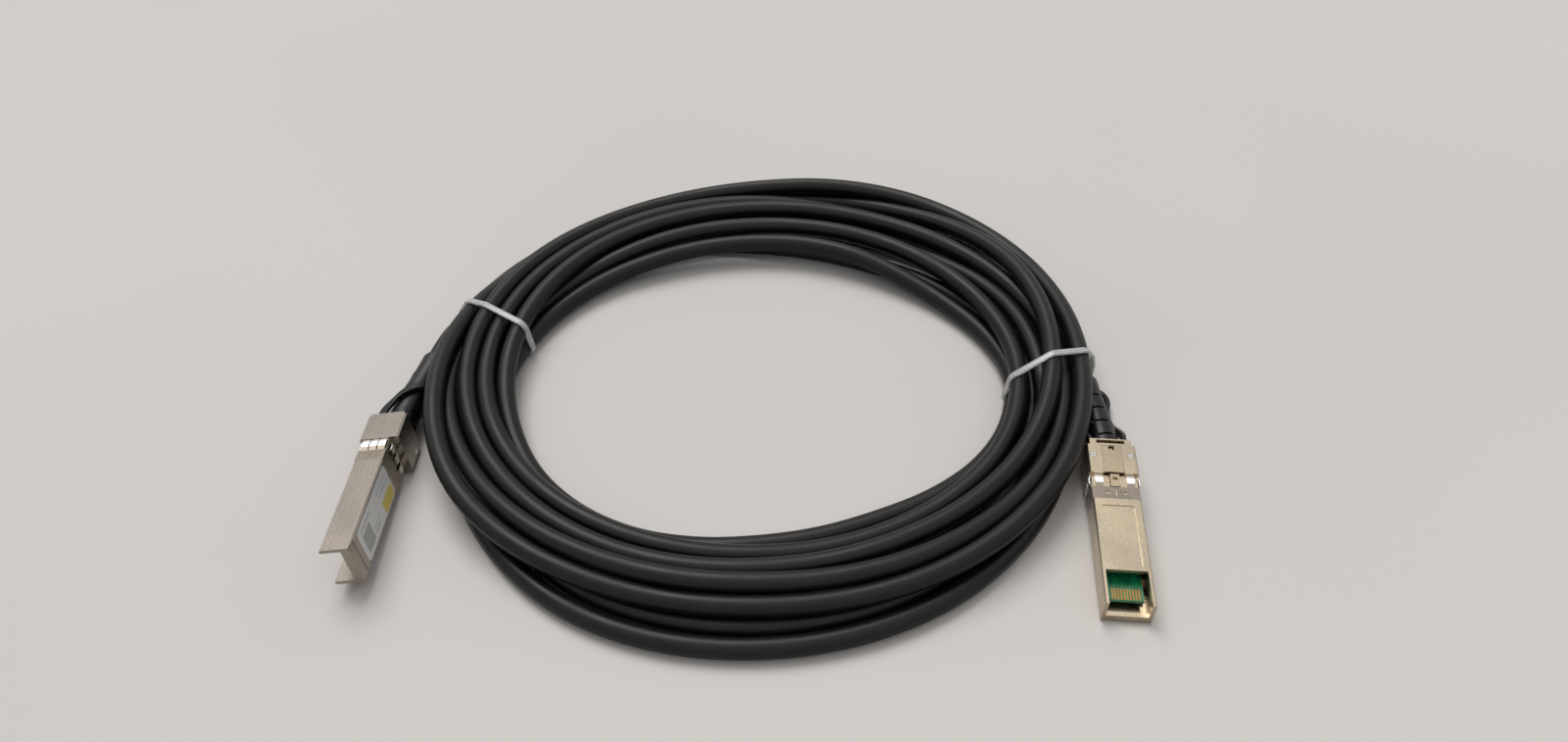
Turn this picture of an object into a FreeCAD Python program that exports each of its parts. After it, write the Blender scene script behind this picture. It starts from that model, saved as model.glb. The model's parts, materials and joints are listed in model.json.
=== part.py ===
import FreeCAD, Part
import math
import os

# A direct attach copper cable: two pluggable metal connectors joined by a round black cord that lies
# in a tied coil.  Millimetres, +Z up, the cable rests on z = 0.
#
# Each connector is modelled in its own frame: X across its width, Y from its front edge to its rear,
# Z from its label side (0) to its latch side, and is then laid in place.

Vector = FreeCAD.Vector
Placement = FreeCAD.Placement
Rotation = FreeCAD.Rotation
ORIGIN = Vector(0, 0, 0)
X_AXIS = Vector(1, 0, 0)
Y_AXIS = Vector(0, 1, 0)
Z_AXIS = Vector(0, 0, 1)

# ---- fits -------------------------------------------------------------------------------------
CLEARANCE = 0.1          # between metal pieces that are put together
RUNNING_GAP = 0.2        # between pieces that move past each other
SOFT_GAP = 0.3           # round the cord and the pull straps

# ---- connector body ---------------------------------------------------------------------------
BODY_WIDTH = 13.6
BODY_HEIGHT = 8.6
BODY_LENGTH = 44.2       # front edge to the head
CORNER = 0.4
WALL = 1.1
FLOOR = 1.2
ROOF = 1.3
SPLIT_Z = 2.4            # the two castings meet here
WINDOW_LENGTH = 10.9
LIP_LENGTH = 1.3
LIP_HEIGHT = 2.8
REAR_WALL = 0.2          # between the cavity and the head
NOSE_BEVEL_LENGTH = 3.0
NOSE_BEVEL_DEPTH = 0.5
NOSE_STEP_WIDTH = 0.3
PANEL_FRONT = 12.0
PANEL_GAP = 2.3          # between the panel and the shield collar
PANEL_WIDTH = 9.2
PANEL_DEPTH = 0.25
PANEL_CORNER = 0.8

# ---- head -------------------------------------------------------------------------------------
HEAD_LENGTH = 10.6
HEAD_WIDTH = 14.3
HEAD_LATCH_RISE = 0.9
HEAD_LABEL_RISE = 2.4
HEAD_BEVEL = 0.5
NECK_LENGTH = 2.2
NECK_WIDTH = 12.0
NECK_LABEL_RISE = 1.0
REAR_SLOT_WIDTH = 8.2
REAR_SLOT_LENGTH = 1.2
REAR_LIP = 0.5

# ---- shield collar ----------------------------------------------------------------------------
COLLAR_BAND = 4.3
FINGER_ROOM = 4.6        # between the collar's band and the head
COLLAR_SHEET = 0.25
FINGER_WIDTH = 2.25
FINGER_PITCH = 2.6
FINGER_RISE = 0.5
LATCH_FINGER_X = 4.5
DIMPLE_SIDE = 0.9
DIMPLE_X = 2.5
SEAM_WIDTH = 0.3
SEAM_LENGTH = 3.0

# ---- card -------------------------------------------------------------------------------------
CARD_WIDTH = 9.5
CARD_THICKNESS = 1.0
CARD_Z = 3.2
CARD_FRONT = 3.9
CARD_IN_MOULD = 3.0
CARD_BEVEL = 0.3
RAIL_WIDTH = 1.4
RAIL_FRONT = 12.0
PAD_COUNT = 10
PAD_PITCH = 0.8
PAD_WIDTH = 0.45
PAD_LENGTH = 3.6
PAD_THICKNESS = 0.08
CHIP_SIDE = 4.0
CHIP_HEIGHT = 0.8
CHIP_FRONT = 16.0
WIRE_COUNT = 4
WIRE_PITCH = 2.0
WIRE_SIDE = 0.9
WIRE_LENGTH = 3.5
KEY_WIDTH = 1.0
KEY_LENGTH = 3.2
KEY_X = 4.1

# ---- cord, inner mould and boot ----------------------------------------------------------------
CORD_DIAMETER = 6.1
MOULD_LENGTH = 13.0
MOULD_IN_HEAD = 1.8
MOULD_GAP = 0.5          # between the mould and the side walls
SLIDER_BED = 0.45        # between the mould and the slider
CRIMP_LENGTH = 6.0
CRIMP_WALL = 0.3
BORE_RADIUS = 3.3
BOOT_RIBS = [4.0, 5.5, 5.5, 5.5, 9.5]
BOOT_BASE_RADIUS = 4.7
BOOT_TIP_RADIUS = 3.75
BOOT_SLOT = 0.9
BOOT_SLOT_DEPTH = 0.9
BOOT_LAP = 0.5           # of each rib into the one before it
BOOT_ROOT = 3.0
BOOT_SEAT = 0.5          # behind the neck, so that the bent boot clears it
BOOT_ROOM = 2.4          # left round the boot for the strap, where the coil passes
BOOT_ROOM_AHEAD = 7.0    # the same beyond the boot's tip
BOOT_TIP_ROUND = 1.6

# ---- latch ------------------------------------------------------------------------------------
PULL_TRAVEL = 2.5
COVER_WIDTH = 5.8
COVER_SHEET = 0.45
COVER_FRONT_LAND = 0.2   # of the head, in front of the cover
COVER_REAR_LAND = 0.4
NOTCH_WIDTH = 1.6
NOTCH_LENGTH = 1.8
PIVOT_BACK = 4.8         # behind the head's front
PIVOT_DEPTH = 1.3        # below the head's top
PIN_RADIUS = 0.4
EYE_WALL = 0.45
PIN_SEAT = 0.8
LEVER_WIDTH = 4.4
LEVER_REACH = 4.3        # ahead of the head
LEVER_REAR_LAND = 0.9
LEVER_DEPTH = 0.95       # below the head's top
LEVER_FALL = 0.15        # of its top towards the rear
LEVER_THICKNESS = 0.65
BOSS_WIDTH = 2.6
BOSS_LENGTH = 2.4
BOSS_DEPTH = 0.1         # below the head's top
BOSS_GAP = 0.5           # ahead of the head
BUTTON_RADIUS = 0.5
BUTTON_RISE = 0.35
FOOT_LENGTH = 1.0
SLIDER_DEPTH = 2.2       # its upper face below the head's top
SLIDER_SHEET = 0.55
SLIDER_WIDTH = 7.2
SLIDER_BACK = 2.0        # behind the head's front
RAMP_RISE = 0.35
TAB_REACH = 1.8          # ahead of the head's rear
TAB_LENGTH = 1.5
TAB_DEPTH = 1.5          # below the head's top
TAB_HEIGHT = 2.7
TAB_INNER_X = 4.0
TAB_OUTER_X = 5.3
SCREW_X = 5.4
SCREW_BACK = 6.6         # behind the head's front
SCREW_RADIUS = 0.95
SCREW_SLOT = 0.35

# ---- pull straps ------------------------------------------------------------------------------
STRAP_THICKNESS = 1.0
STRAP_WIDTH = 2.4
STRAP_SEAT = 0.6         # behind the tabs' front
STRAP_REACH = 14.0       # half the width that a strap's outlines are cut from

# ---- label ------------------------------------------------------------------------------------
LABEL_FRONT = 6.0
LABEL_GAP = 1.3          # between the label and the shield collar
LABEL_WIDTH = 11.4
LABEL_SHEET = 0.15
LABEL_CORNER = 1.2

# ---- coil and ties ----------------------------------------------------------------------------
COIL_CENTRE = Vector(3.85, 29.79, 0)   # puts the origin under the middle of the bounding box
COIL_OUTER_RADIUS = 105.9
COIL_OUTER_SHIFT = Vector(0.3, 2.1, 0)
COIL_INNER_LONG = 82.7
COIL_INNER_SHORT = 65.2
COIL_INNER_END_RADIUS = 54.0
COIL_HEIGHT = 12.6
COIL_EDGE = 3.0
TIE_WIDTH = 2.0
TIE_SHEET = 1.0
TIE_CORNER = 4.0
RIGHT_TIE = (Vector(93.7, -5.8, 0), 16.3, 29.6)      # centre, direction, length of the loop
LEFT_TIE = (Vector(-89.3, 25.8, 0), 147.1, 33.3)

TAIL_LENGTH = 14.0       # straight out of each boot's tip into the coil

# ---- how each connector lies ------------------------------------------------------------------
PLUG_A_REAR = Vector(-109.1757, -22.1438, 0)     # where the middle of its label side ends
PLUG_A_TURN = 0.36
PLUG_A_NOSE_UP = 4.0
PLUG_A_LEAN = 6.3
PLUG_B_REAR = Vector(104.6720, -37.5032, 0)
PLUG_B_TURN = 5.78
BOOT_A_TURNS = [(-5, 2.5), (-5, 2), (-2.5, 1), (0, 0), (0, 0)]
BOOT_B_TURNS = [(0, -5), (0, -3), (0, 0), (0, 0), (0, 0)]

# ---- worked out from the sizes above ------------------------------------------------------------
HEAD_REAR = BODY_LENGTH + HEAD_LENGTH
PLUG_LENGTH = HEAD_REAR + NECK_LENGTH
HEAD_TOP = BODY_HEIGHT + HEAD_LATCH_RISE
CAVITY_REAR = BODY_LENGTH - REAR_WALL
COLLAR_REAR = BODY_LENGTH - FINGER_ROOM
COLLAR_FRONT = COLLAR_REAR - COLLAR_BAND
PANEL_REAR = COLLAR_FRONT - PANEL_GAP
LABEL_LENGTH = COLLAR_FRONT - LABEL_GAP - LABEL_FRONT
CORD_RADIUS = CORD_DIAMETER / 2
CORD_Z = SPLIT_Z         # the cord leaves between the two castings
ROOF_Z = BODY_HEIGHT - ROOF
INNER_X = BODY_WIDTH / 2 - WALL
COVER_FRONT = BODY_LENGTH + COVER_FRONT_LAND
COVER_REAR = HEAD_REAR - COVER_REAR_LAND
COVER_BOTTOM = HEAD_TOP - COVER_SHEET
PIVOT_Y = BODY_LENGTH + PIVOT_BACK
PIVOT_Z = HEAD_TOP - PIVOT_DEPTH
LEVER_FRONT = BODY_LENGTH - LEVER_REACH
LEVER_REAR = HEAD_REAR - LEVER_REAR_LAND
LEVER_TOP = HEAD_TOP - LEVER_DEPTH
BOSS_REAR = BODY_LENGTH - BOSS_GAP
BOSS_TOP = HEAD_TOP - BOSS_DEPTH
SLIDER_TOP = HEAD_TOP - SLIDER_DEPTH
SLIDER_BOTTOM = SLIDER_TOP - SLIDER_SHEET
SLIDER_FRONT = BODY_LENGTH + SLIDER_BACK
FOOT_BOTTOM = SLIDER_TOP + RAMP_RISE
TAB_FRONT = HEAD_REAR - TAB_REACH
TAB_TOP = HEAD_TOP - TAB_DEPTH
TAB_BOTTOM = TAB_TOP - TAB_HEIGHT
SCREW_Y = BODY_LENGTH + SCREW_BACK
MOULD_REAR = BODY_LENGTH + MOULD_IN_HEAD
MOULD_FRONT = MOULD_REAR - MOULD_LENGTH
MOULD_WIDTH = 2 * (INNER_X - MOULD_GAP)
MOULD_TOP = SLIDER_BOTTOM - SLIDER_BED
CARD_REAR = MOULD_FRONT + CARD_IN_MOULD
CARD_TOP = CARD_Z + CARD_THICKNESS
TO_REAR = Placement(Vector(0, -PLUG_LENGTH, 0), Rotation())


# ---- small helpers ----------------------------------------------------------------------------
def block(x, y, z):
    """A box from three (low, high) pairs."""
    return Part.makeBox(x[1] - x[0], y[1] - y[0], z[1] - z[0], Vector(x[0], y[0], z[0]))


def centred(width, y, z):
    """A box centred on x = 0."""
    return block((-width / 2, width / 2), y, z)


def face_of(points):
    """A flat face from its corners."""
    return Part.Face(Part.makePolygon(points + points[:1]))


def along_y(section, y):
    """Extrude an (x, z) outline from y[0] to y[1]."""
    return face_of([Vector(px, y[0], pz) for px, pz in section]).extrude(Vector(0, y[1] - y[0], 0))


def along_x(section, x):
    """Extrude a (y, z) outline from x[0] to x[1]."""
    return face_of([Vector(x[0], py, pz) for py, pz in section]).extrude(Vector(x[1] - x[0], 0, 0))


def turned(profile, axis_point=ORIGIN):
    """Revolve an (radius, y) outline about the Y direction through axis_point."""
    corners = [axis_point + Vector(radius, y, 0) for radius, y in profile]
    return face_of(corners).revolve(axis_point, Y_AXIS, 360)


def cylinder(radius, start, direction, length):
    return Part.makeCylinder(radius, length, start, direction)


def rounded_rectangle(length, width, radius, z):
    """A flat wire centred on the origin, long side on Y."""
    half_x = width / 2
    half_y = length / 2
    edges = []
    corners = [(1, 1, 0), (-1, 1, 90), (-1, -1, 180), (1, -1, 270)]
    for side_x, side_y, start in corners:
        centre = Vector(side_x * (half_x - radius), side_y * (half_y - radius), z)
        edges.append(Part.makeCircle(radius, centre, Z_AXIS, start, start + 90))
    arcs = []
    for index, arc in enumerate(edges):
        following = edges[(index + 1) % 4]
        arcs.append(arc)
        arcs.append(Part.makeLine(arc.Vertexes[-1].Point, following.Vertexes[0].Point))
    return Part.Wire(arcs)


def smooth_route(points):
    """Straight runs joined by tangent arcs that are as large as the runs beside them allow."""
    edges = []
    here = points[0]
    for before, corner, after in zip(points, points[1:], points[2:]):
        entering = (corner - before)
        leaving = (after - corner)
        shorter = min(entering.Length, leaving.Length)
        entering.normalize()
        leaving.normalize()
        half_turn = entering.getAngle(leaving) / 2
        reach = 0.45 * shorter
        radius = reach / math.tan(half_turn)
        arc_start = corner - entering * reach
        arc_end = corner + leaving * reach
        inward = leaving - entering
        inward.normalize()
        middle = corner + inward * (radius / math.cos(half_turn) - radius)
        edges.append(Part.LineSegment(here, arc_start).toShape())
        edges.append(Part.Arc(arc_start, middle, arc_end).toShape())
        here = arc_end
    edges.append(Part.LineSegment(here, points[-1]).toShape())
    return Part.Wire(edges)


def fused(shapes):
    """One solid, or compound, from pieces that touch or overlap."""
    whole = shapes[0]
    if len(shapes) > 1:
        whole = whole.multiFuse(shapes[1:])
    return whole.removeSplitter()


# ---- the two castings -------------------------------------------------------------------------
def body_section(low, high):
    """Outline of the body between two heights, its outer corners bevelled."""
    half = BODY_WIDTH / 2
    bevel = CORNER
    if low > 0:
        return [(-half, low), (half, low), (half, high - bevel), (half - bevel, high),
                (bevel - half, high), (-half, high - bevel)]
    return [(-half, high), (-half, low + bevel), (bevel - half, low), (half - bevel, low),
            (half, low + bevel), (half, high)]


def collar_seat(low, high):
    """The shallow step all round the body in which the shield collar lies."""
    outer = centred(BODY_WIDTH + 2, (COLLAR_FRONT, BODY_LENGTH), (low, high))
    sheet = COLLAR_SHEET
    half = BODY_WIDTH / 2 - sheet
    inner = block((-half, half), (COLLAR_FRONT, BODY_LENGTH), (sheet, BODY_HEIGHT - sheet))
    return outer.cut(inner)


def head_half(low, high, label_side):
    """One half of the head, bevelled on its outer edges, with the narrower neck behind it."""
    half = HEAD_WIDTH / 2
    bevel = HEAD_BEVEL
    if label_side:
        section = [(-half, high), (-half, low + bevel), (bevel - half, low), (half - bevel, low),
                   (half, low + bevel), (half, high)]
        neck_z = (-NECK_LABEL_RISE, high)
    else:
        section = [(-half, low), (half, low), (half, high - bevel), (half - bevel, high),
                   (bevel - half, high), (-half, high - bevel)]
        neck_z = (low, high)
    head = along_y(section, (BODY_LENGTH, HEAD_REAR))
    neck = centred(NECK_WIDTH, (HEAD_REAR, PLUG_LENGTH), neck_z)
    return [head, neck]


def cord_passage():
    """The inner mould's pocket and the round bore for the crimp ring and the boot's root."""
    pocket = centred(MOULD_WIDTH + 2 * CLEARANCE, (BODY_LENGTH - 1, MOULD_REAR + CLEARANCE),
                     (FLOOR, MOULD_TOP + CLEARANCE))
    bore = cylinder(BORE_RADIUS, Vector(0, MOULD_REAR, CORD_Z), Y_AXIS, PLUG_LENGTH - MOULD_REAR + 1)
    return pocket.fuse(bore)


def screw_holes():
    holes = []
    for side in (-1, 1):
        foot = Vector(side * SCREW_X, SCREW_Y, -HEAD_LABEL_RISE - 1)
        height = HEAD_TOP + HEAD_LABEL_RISE + 2
        holes.append(cylinder(SCREW_RADIUS + CLEARANCE, foot, Z_AXIS, height))
    return holes


def lower_shell():
    """Label-side casting: floor, front lip, nose bevel, card rails and its half of the head."""
    body = along_y(body_section(0, SPLIT_Z), (0, BODY_LENGTH))
    lip = centred(2 * INNER_X, (0, LIP_LENGTH), (SPLIT_Z - 0.5, LIP_HEIGHT))
    shell = fused([body, lip] + head_half(-HEAD_LABEL_RISE, SPLIT_Z, True))
    cavity = centred(2 * INNER_X, (LIP_LENGTH, CAVITY_REAR), (FLOOR, LIP_HEIGHT + 1))
    far = BODY_WIDTH
    nose = along_x([(-1, -1), (NOSE_BEVEL_LENGTH, -1), (NOSE_BEVEL_LENGTH, 0),
                    (0, NOSE_BEVEL_DEPTH), (-1, NOSE_BEVEL_DEPTH)], (-far, far))
    step_front = NOSE_BEVEL_LENGTH
    step = centred(2 * far, (step_front, step_front + NOSE_STEP_WIDTH), (-1, LABEL_SHEET))
    label_seat = centred(LABEL_WIDTH + 2 * CLEARANCE,
                         (LABEL_FRONT - CLEARANCE, LABEL_FRONT + LABEL_LENGTH + CLEARANCE),
                         (-1, LABEL_SHEET))
    shell = shell.cut([cavity, nose, step, label_seat, cord_passage(),
                       collar_seat(-1, SPLIT_Z)] + screw_holes())
    added = [block((KEY_X - KEY_WIDTH / 2, KEY_X + KEY_WIDTH / 2),
                   (LIP_LENGTH, LIP_LENGTH + KEY_LENGTH), (FLOOR - 0.2, LIP_HEIGHT))]
    for side in (-1, 1):
        inner = side * (CARD_WIDTH / 2 - RAIL_WIDTH / 2)
        outer = side * INNER_X
        added.append(block((min(inner, outer), max(inner, outer)),
                           (RAIL_FRONT, MOULD_FRONT - CLEARANCE), (FLOOR - 0.2, SPLIT_Z)))
    return fused([shell] + added)


def upper_shell():
    """Latch-side casting: side walls, roof with its recessed panel, window and head channel."""
    body = along_y(body_section(SPLIT_Z, BODY_HEIGHT), (0, BODY_LENGTH))
    shell = fused([body] + head_half(SPLIT_Z, HEAD_TOP, False))
    cavity = centred(2 * INNER_X, (-1, CAVITY_REAR), (SPLIT_Z - 1, ROOF_Z))
    window = centred(2 * INNER_X, (-1, WINDOW_LENGTH), (SPLIT_Z, BODY_HEIGHT + 1))
    panel_length = PANEL_REAR - PANEL_FRONT
    outline = rounded_rectangle(panel_length, PANEL_WIDTH, PANEL_CORNER, 0)
    panel = Part.Face(outline).extrude(Vector(0, 0, 1))
    panel.translate(Vector(0, PANEL_FRONT + panel_length / 2, BODY_HEIGHT - PANEL_DEPTH))
    shell = shell.cut([cavity, window, panel, cord_passage(),
                       collar_seat(SPLIT_Z, BODY_HEIGHT + 1)] + screw_holes() + latch_channel())
    rails = []
    for side in (-1, 1):
        inner = side * (CARD_WIDTH / 2 - RAIL_WIDTH / 2)
        outer = side * (INNER_X + 0.2)
        rails.append(block((min(inner, outer), max(inner, outer)),
                           (RAIL_FRONT, MOULD_FRONT - CLEARANCE), (SPLIT_Z, CARD_Z)))
    return fused([shell] + rails)


def latch_channel():
    """The room inside the head for the slider, the lever, its pin and the cover plate."""
    head_front = BODY_LENGTH
    lever_slot = centred(BOSS_WIDTH + 2 * RUNNING_GAP, (LEVER_FRONT - 2 * RUNNING_GAP, MOULD_REAR),
                         (MOULD_TOP, COVER_BOTTOM))
    lever_bay = centred(COVER_WIDTH, (head_front, COVER_REAR),
                        (SLIDER_TOP, COVER_BOTTOM))
    cover_seat = centred(COVER_WIDTH + 2 * CLEARANCE, (head_front - 1, COVER_REAR + CLEARANCE),
                         (COVER_BOTTOM, HEAD_TOP + 1))
    slider_run = centred(SLIDER_WIDTH + 2 * RUNNING_GAP, (SLIDER_FRONT - 1, PLUG_LENGTH + 1),
                         (SLIDER_BOTTOM - RUNNING_GAP, SLIDER_TOP + RUNNING_GAP))
    pin_length = COVER_WIDTH + 2 * PIN_SEAT
    pin_hole = cylinder(PIN_RADIUS + CLEARANCE / 2, Vector(-pin_length / 2, PIVOT_Y, PIVOT_Z),
                        X_AXIS, pin_length)
    slot_rear = PLUG_LENGTH - REAR_LIP
    rear_slot = centred(REAR_SLOT_WIDTH, (slot_rear - REAR_SLOT_LENGTH, slot_rear),
                        (SLIDER_TOP, HEAD_TOP + 1))
    cuts = [lever_slot, lever_bay, cover_seat, slider_run, pin_hole, rear_slot]
    for side in (-1, 1):
        near = side * (TAB_INNER_X - RUNNING_GAP)
        far = side * (TAB_OUTER_X + RUNNING_GAP)
        cuts.append(block((min(near, far), max(near, far)), (TAB_FRONT - RUNNING_GAP, PLUG_LENGTH + 1),
                          (TAB_BOTTOM - RUNNING_GAP, TAB_TOP + RUNNING_GAP)))
    return cuts


# ---- shield collar ----------------------------------------------------------------------------
def collar_finger(length, width):
    """One bowed spring finger, lying along Y with its root at the origin, bowing towards +Z."""
    sheet = COLLAR_SHEET
    crest = (0.35 * length, 0.65 * length)
    side = [(0, 0), (crest[0], FINGER_RISE), (crest[1], FINGER_RISE), (length, 0), (length, sheet),
            (crest[1], FINGER_RISE + sheet), (crest[0], FINGER_RISE + sheet), (0, sheet)]
    return along_x(side, (-width / 2, width / 2))


def emi_collar():
    """A sheet band round the body with bowed fingers that point at the head."""
    half = BODY_WIDTH / 2
    sheet = COLLAR_SHEET
    gap = CLEARANCE / 10
    outer = block((-half, half), (COLLAR_FRONT, COLLAR_REAR), (0, BODY_HEIGHT))
    inner = block((sheet - half - gap, half - sheet + gap), (COLLAR_FRONT - 1, COLLAR_REAR + 1),
                  (sheet - gap, BODY_HEIGHT - sheet + gap))
    band = outer.cut(inner)
    seam_y = (COLLAR_REAR - SEAM_LENGTH - 0.4, COLLAR_REAR - 0.4)
    cuts = [centred(SEAM_WIDTH, seam_y, (BODY_HEIGHT - 1, BODY_HEIGHT + 1))]
    dimple_y = COLLAR_FRONT + COLLAR_BAND / 2
    for side in (-1, 1):
        low = side * DIMPLE_X - DIMPLE_SIDE / 2
        cuts.append(block((low, low + DIMPLE_SIDE),
                          (dimple_y - DIMPLE_SIDE / 2, dimple_y + DIMPLE_SIDE / 2),
                          (BODY_HEIGHT - 1, BODY_HEIGHT + 1)))
    band = band.cut(cuts)
    length = BODY_LENGTH - COLLAR_REAR - CLEARANCE
    base = collar_finger(length + 0.2, FINGER_WIDTH)
    base.translate(Vector(0, COLLAR_REAR - 0.2, 0))
    fingers = []
    for x in (-LATCH_FINGER_X, LATCH_FINGER_X):
        finger = base.copy()
        finger.translate(Vector(x, 0, BODY_HEIGHT - sheet))
        fingers.append(finger)
    for index in (-1, 0, 1):
        finger = base.copy()
        finger.rotate(ORIGIN, Y_AXIS, 180)
        finger.translate(Vector(index * 1.5 * FINGER_PITCH, 0, sheet))
        fingers.append(finger)
        for side, angle in ((1, 90), (-1, -90)):
            finger = base.copy()
            finger.rotate(ORIGIN, Y_AXIS, angle)
            finger.translate(Vector(side * (half - sheet), 0, BODY_HEIGHT / 2 + index * FINGER_PITCH))
            fingers.append(finger)
    return fused([band] + fingers)


# ---- card, pads, chip, wires, mould, crimp -----------------------------------------------------
def paddle_card():
    edge = CARD_BEVEL
    section = [(CARD_FRONT, CARD_Z + edge), (CARD_FRONT + edge, CARD_Z), (CARD_REAR, CARD_Z),
               (CARD_REAR, CARD_TOP), (CARD_FRONT + edge, CARD_TOP), (CARD_FRONT, CARD_TOP - edge)]
    return along_x(section, (-CARD_WIDTH / 2, CARD_WIDTH / 2))


def contact_pads():
    """Gold pads in a row on both faces of the card's front edge."""
    front = CARD_FRONT + CARD_BEVEL
    pads = []
    for index in range(PAD_COUNT):
        centre = (index - (PAD_COUNT - 1) / 2) * PAD_PITCH
        for low in (CARD_TOP, CARD_Z - PAD_THICKNESS):
            pads.append(block((centre - PAD_WIDTH / 2, centre + PAD_WIDTH / 2),
                              (front, front + PAD_LENGTH), (low, low + PAD_THICKNESS)))
    return Part.makeCompound(pads)


def memory_chip():
    return centred(CHIP_SIDE, (CHIP_FRONT, CHIP_FRONT + CHIP_SIDE), (CARD_TOP, CARD_TOP + CHIP_HEIGHT))


def wires():
    """Conductors from the mould's front to the card."""
    rows = []
    for index in range(WIRE_COUNT):
        x = (index - (WIRE_COUNT - 1) / 2) * WIRE_PITCH
        rows.append(block((x - WIRE_SIDE / 2, x + WIRE_SIDE / 2), (MOULD_FRONT - WIRE_LENGTH, MOULD_FRONT),
                          (CARD_TOP, CARD_TOP + WIRE_SIDE)))
    return Part.makeCompound(rows)


def inner_mould():
    """The block moulded round the card's rear and the wire ends."""
    mould = centred(MOULD_WIDTH, (MOULD_FRONT, MOULD_REAR), (FLOOR, MOULD_TOP))
    card_slot = centred(CARD_WIDTH, (MOULD_FRONT - 1, CARD_REAR), (CARD_Z, CARD_TOP))
    return mould.cut(card_slot)


def crimp_ring():
    """A ring crimped to six flats round the cord's braid."""
    corners = []
    for index in range(6):
        angle = math.radians(60 * index)
        corners.append((BORE_RADIUS * math.cos(angle), CORD_Z + BORE_RADIUS * math.sin(angle)))
    outer = along_y(corners, (MOULD_REAR, MOULD_REAR + CRIMP_LENGTH))
    inner_radius = BORE_RADIUS * math.cos(math.radians(30)) - CRIMP_WALL
    inner = cylinder(inner_radius, Vector(0, MOULD_REAR - 1, CORD_Z), Y_AXIS, CRIMP_LENGTH + 2)
    return outer.cut(inner)


# ---- latch pieces -----------------------------------------------------------------------------
def latch_cover():
    """Thin plate flush in the head, notched at its rear for the lever's button."""
    plate = centred(COVER_WIDTH, (COVER_FRONT, COVER_REAR), (COVER_BOTTOM, HEAD_TOP))
    notch = centred(NOTCH_WIDTH, (COVER_REAR - NOTCH_LENGTH, COVER_REAR + 1),
                    (HEAD_TOP - 1, HEAD_TOP + 1))
    return plate.cut(notch)


def latch_lever():
    """Rocker on the pin: the boss stands proud in front, the foot rides the slider's ramp."""
    under = LEVER_TOP - LEVER_THICKNESS
    foot_front = LEVER_REAR - FOOT_LENGTH
    side = [(LEVER_FRONT, under), (foot_front, under), (foot_front, FOOT_BOTTOM),
            (LEVER_REAR, FOOT_BOTTOM), (LEVER_REAR, LEVER_TOP - LEVER_FALL), (BOSS_REAR, LEVER_TOP),
            (BOSS_REAR, BOSS_TOP), (BOSS_REAR - BOSS_LENGTH, BOSS_TOP), (LEVER_FRONT, LEVER_TOP)]
    lever = along_x(side, (-LEVER_WIDTH / 2, LEVER_WIDTH / 2))
    shoulder = BODY_LENGTH + 2 * RUNNING_GAP
    for x in (-1, 1):
        near = x * BOSS_WIDTH / 2
        far = x * LEVER_WIDTH
        lever = lever.cut(block((min(near, far), max(near, far)), (LEVER_FRONT - 1, shoulder),
                                (FOOT_BOTTOM - 1, BOSS_TOP + 1)))
    slot = centred(BOSS_WIDTH / 2, (BOSS_REAR - 2.1, BOSS_REAR - 1.2), (LEVER_TOP, BOSS_TOP + 1))
    eye = cylinder(PIN_RADIUS + EYE_WALL, Vector(-LEVER_WIDTH / 2, PIVOT_Y, PIVOT_Z), X_AXIS,
                   LEVER_WIDTH)
    eye_cap = centred(LEVER_WIDTH, (PIVOT_Y - 2, PIVOT_Y + 2),
                      (SLIDER_TOP + RUNNING_GAP, COVER_BOTTOM - RUNNING_GAP))
    eye = eye.common(eye_cap)
    button_foot = Vector(0, LEVER_REAR - BUTTON_RADIUS - CLEARANCE, LEVER_TOP - LEVER_THICKNESS / 2)
    button = cylinder(BUTTON_RADIUS, button_foot, Z_AXIS, LEVER_THICKNESS / 2 + BUTTON_RISE)
    hole = cylinder(PIN_RADIUS + CLEARANCE / 2, Vector(-LEVER_WIDTH, PIVOT_Y, PIVOT_Z), X_AXIS,
                    2 * LEVER_WIDTH)
    return fused([lever.cut(slot), eye, button]).cut(hole)


def lever_pin():
    length = COVER_WIDTH + 2 * PIN_SEAT - CLEARANCE
    return cylinder(PIN_RADIUS, Vector(-length / 2, PIVOT_Y, PIVOT_Z), X_AXIS, length)


def pull_slider():
    """Flat slider with a ramp for the lever's foot and two tabs that hold the strap's ends."""
    plate = centred(SLIDER_WIDTH, (SLIDER_FRONT, TAB_FRONT + TAB_LENGTH), (SLIDER_BOTTOM, SLIDER_TOP))
    ramp_rear = LEVER_REAR - FOOT_LENGTH - CLEARANCE
    ramp_front = ramp_rear - (PULL_TRAVEL - SOFT_GAP)
    ramp = along_x([(ramp_front, SLIDER_TOP), (ramp_rear, SLIDER_TOP), (ramp_front, SLIDER_TOP + RAMP_RISE)],
                   (-LEVER_WIDTH / 2, LEVER_WIDTH / 2))
    pieces = [plate, ramp]
    cross = centred(2 * TAB_OUTER_X, (TAB_FRONT, TAB_FRONT + TAB_LENGTH), (SLIDER_BOTTOM, SLIDER_TOP))
    pieces.append(cross)
    for side in (-1, 1):
        near = side * TAB_INNER_X
        far = side * TAB_OUTER_X
        pieces.append(block((min(near, far), max(near, far)), (TAB_FRONT, TAB_FRONT + TAB_LENGTH),
                            (TAB_BOTTOM, TAB_TOP)))
    return fused(pieces)


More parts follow.
